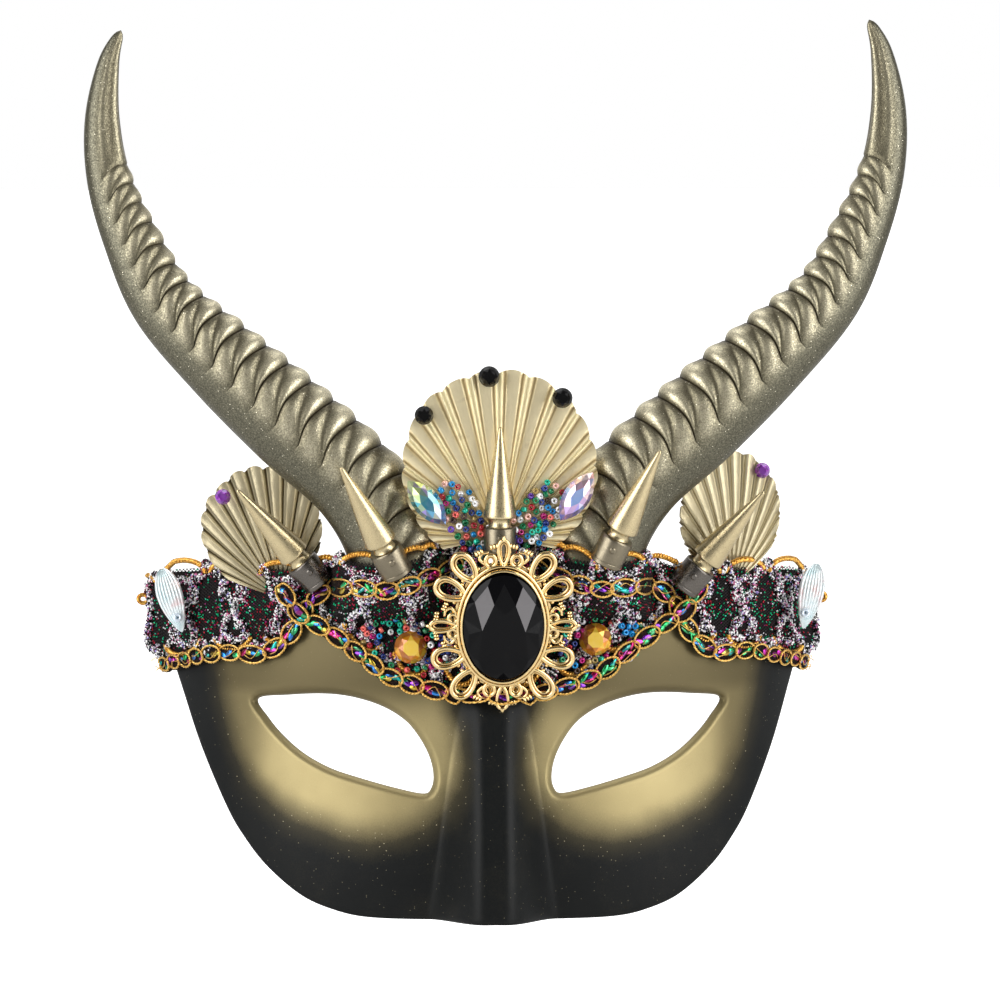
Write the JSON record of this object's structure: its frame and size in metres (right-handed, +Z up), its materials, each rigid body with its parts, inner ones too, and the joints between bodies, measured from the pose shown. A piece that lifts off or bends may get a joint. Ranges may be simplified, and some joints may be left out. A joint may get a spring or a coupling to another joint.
{
  "type": "horned eye mask",
  "caption": "Half-face eye mask with curved ridged horns, scallop shells, cone spikes, an oval jewel in an openwork setting, and lace and braid trim across the brow.",
  "frame": {"origin": "the middle of the shell's inside face at the wearer's brow, where the mask seats between the eyes", "axes": "+X to the viewer's right of the mask's front, +Y from the front towards the wearer, +Z up along the horns"},
  "size_m": [0.2276, 0.0877, 0.2484],
  "materials": {
    "shell_plastic": "satin moulded plastic, airbrushed gold round the eyes and black towards the lower edge",
    "horn_paint": "satin pewter and gold metallic paint on moulded plastic",
    "horn_back": "darker satin paint on moulded plastic",
    "glue": "set hot-melt glue",
    "scallop_gold": "satin light gold",
    "spike_gold": "brushed satin gold",
    "spike_bronze": "satin dark bronze",
    "setting_gold": "polished pale gold casting",
    "black_stone": "polished faceted acrylic",
    "lace": "black net with silver chenille and orange-gold cord",
    "braid": "orange-gold metallic cord with foil centres",
    "aurora_stone": "faceted acrylic with a rainbow coat",
    "amber_stone": "faceted amber acrylic on a foil back",
    "purple_stone": "faceted purple acrylic on a foil back",
    "sequin": "ribbed iridescent film",
    "seed_bead": "small glass-like beads in mixed colours"
  },
  "bodies": {
    "root": {"mask_shell": "shell_plastic", "horn_left_front": "horn_paint", "horn_left_back": "horn_back", "horn_right_front": "horn_paint", "horn_right_back": "horn_back", "horn_glue_left": "glue", "horn_glue_right": "glue", "scallop_centre": "scallop_gold", "scallop_left": "scallop_gold", "scallop_right": "scallop_gold", "spike_cone_centre": "spike_gold", "spike_cone_inner_left": "spike_gold", "spike_cone_inner_right": "spike_gold", "spike_cone_outer_left": "spike_gold", "spike_cone_outer_right": "spike_gold", "spike_base_centre": "spike_bronze", "spike_base_inner_left": "spike_bronze", "spike_base_inner_right": "spike_bronze", "spike_base_outer_left": "spike_bronze", "spike_base_outer_right": "spike_bronze", "jewel_setting": "setting_gold", "jewel_pad": "glue", "oval_stone": "black_stone", "lace_left": "lace", "lace_right": "lace", "lace_centre_left": "lace", "lace_centre_right": "lace", "braid_upper_left": "braid", "braid_upper_right": "braid", "braid_lower": "braid", "marquise_left": "aurora_stone", "marquise_right": "aurora_stone", "amber_stone_left": "amber_stone", "amber_stone_right": "amber_stone", "rhinestone_left": "black_stone", "rhinestone_top": "black_stone", "rhinestone_right": "black_stone", "purple_stone_left": "purple_stone", "purple_stone_right": "purple_stone", "drop_sequin_left": "sequin", "drop_sequin_right": "sequin", "sequin_bead_left": "seed_bead", "sequin_bead_right": "seed_bead", "seed_beads_crest_left": "seed_bead", "seed_beads_crest_right": "seed_bead", "seed_beads_amber_left": "seed_bead", "seed_beads_amber_right": "seed_bead"}
  },
  "joints": []
}
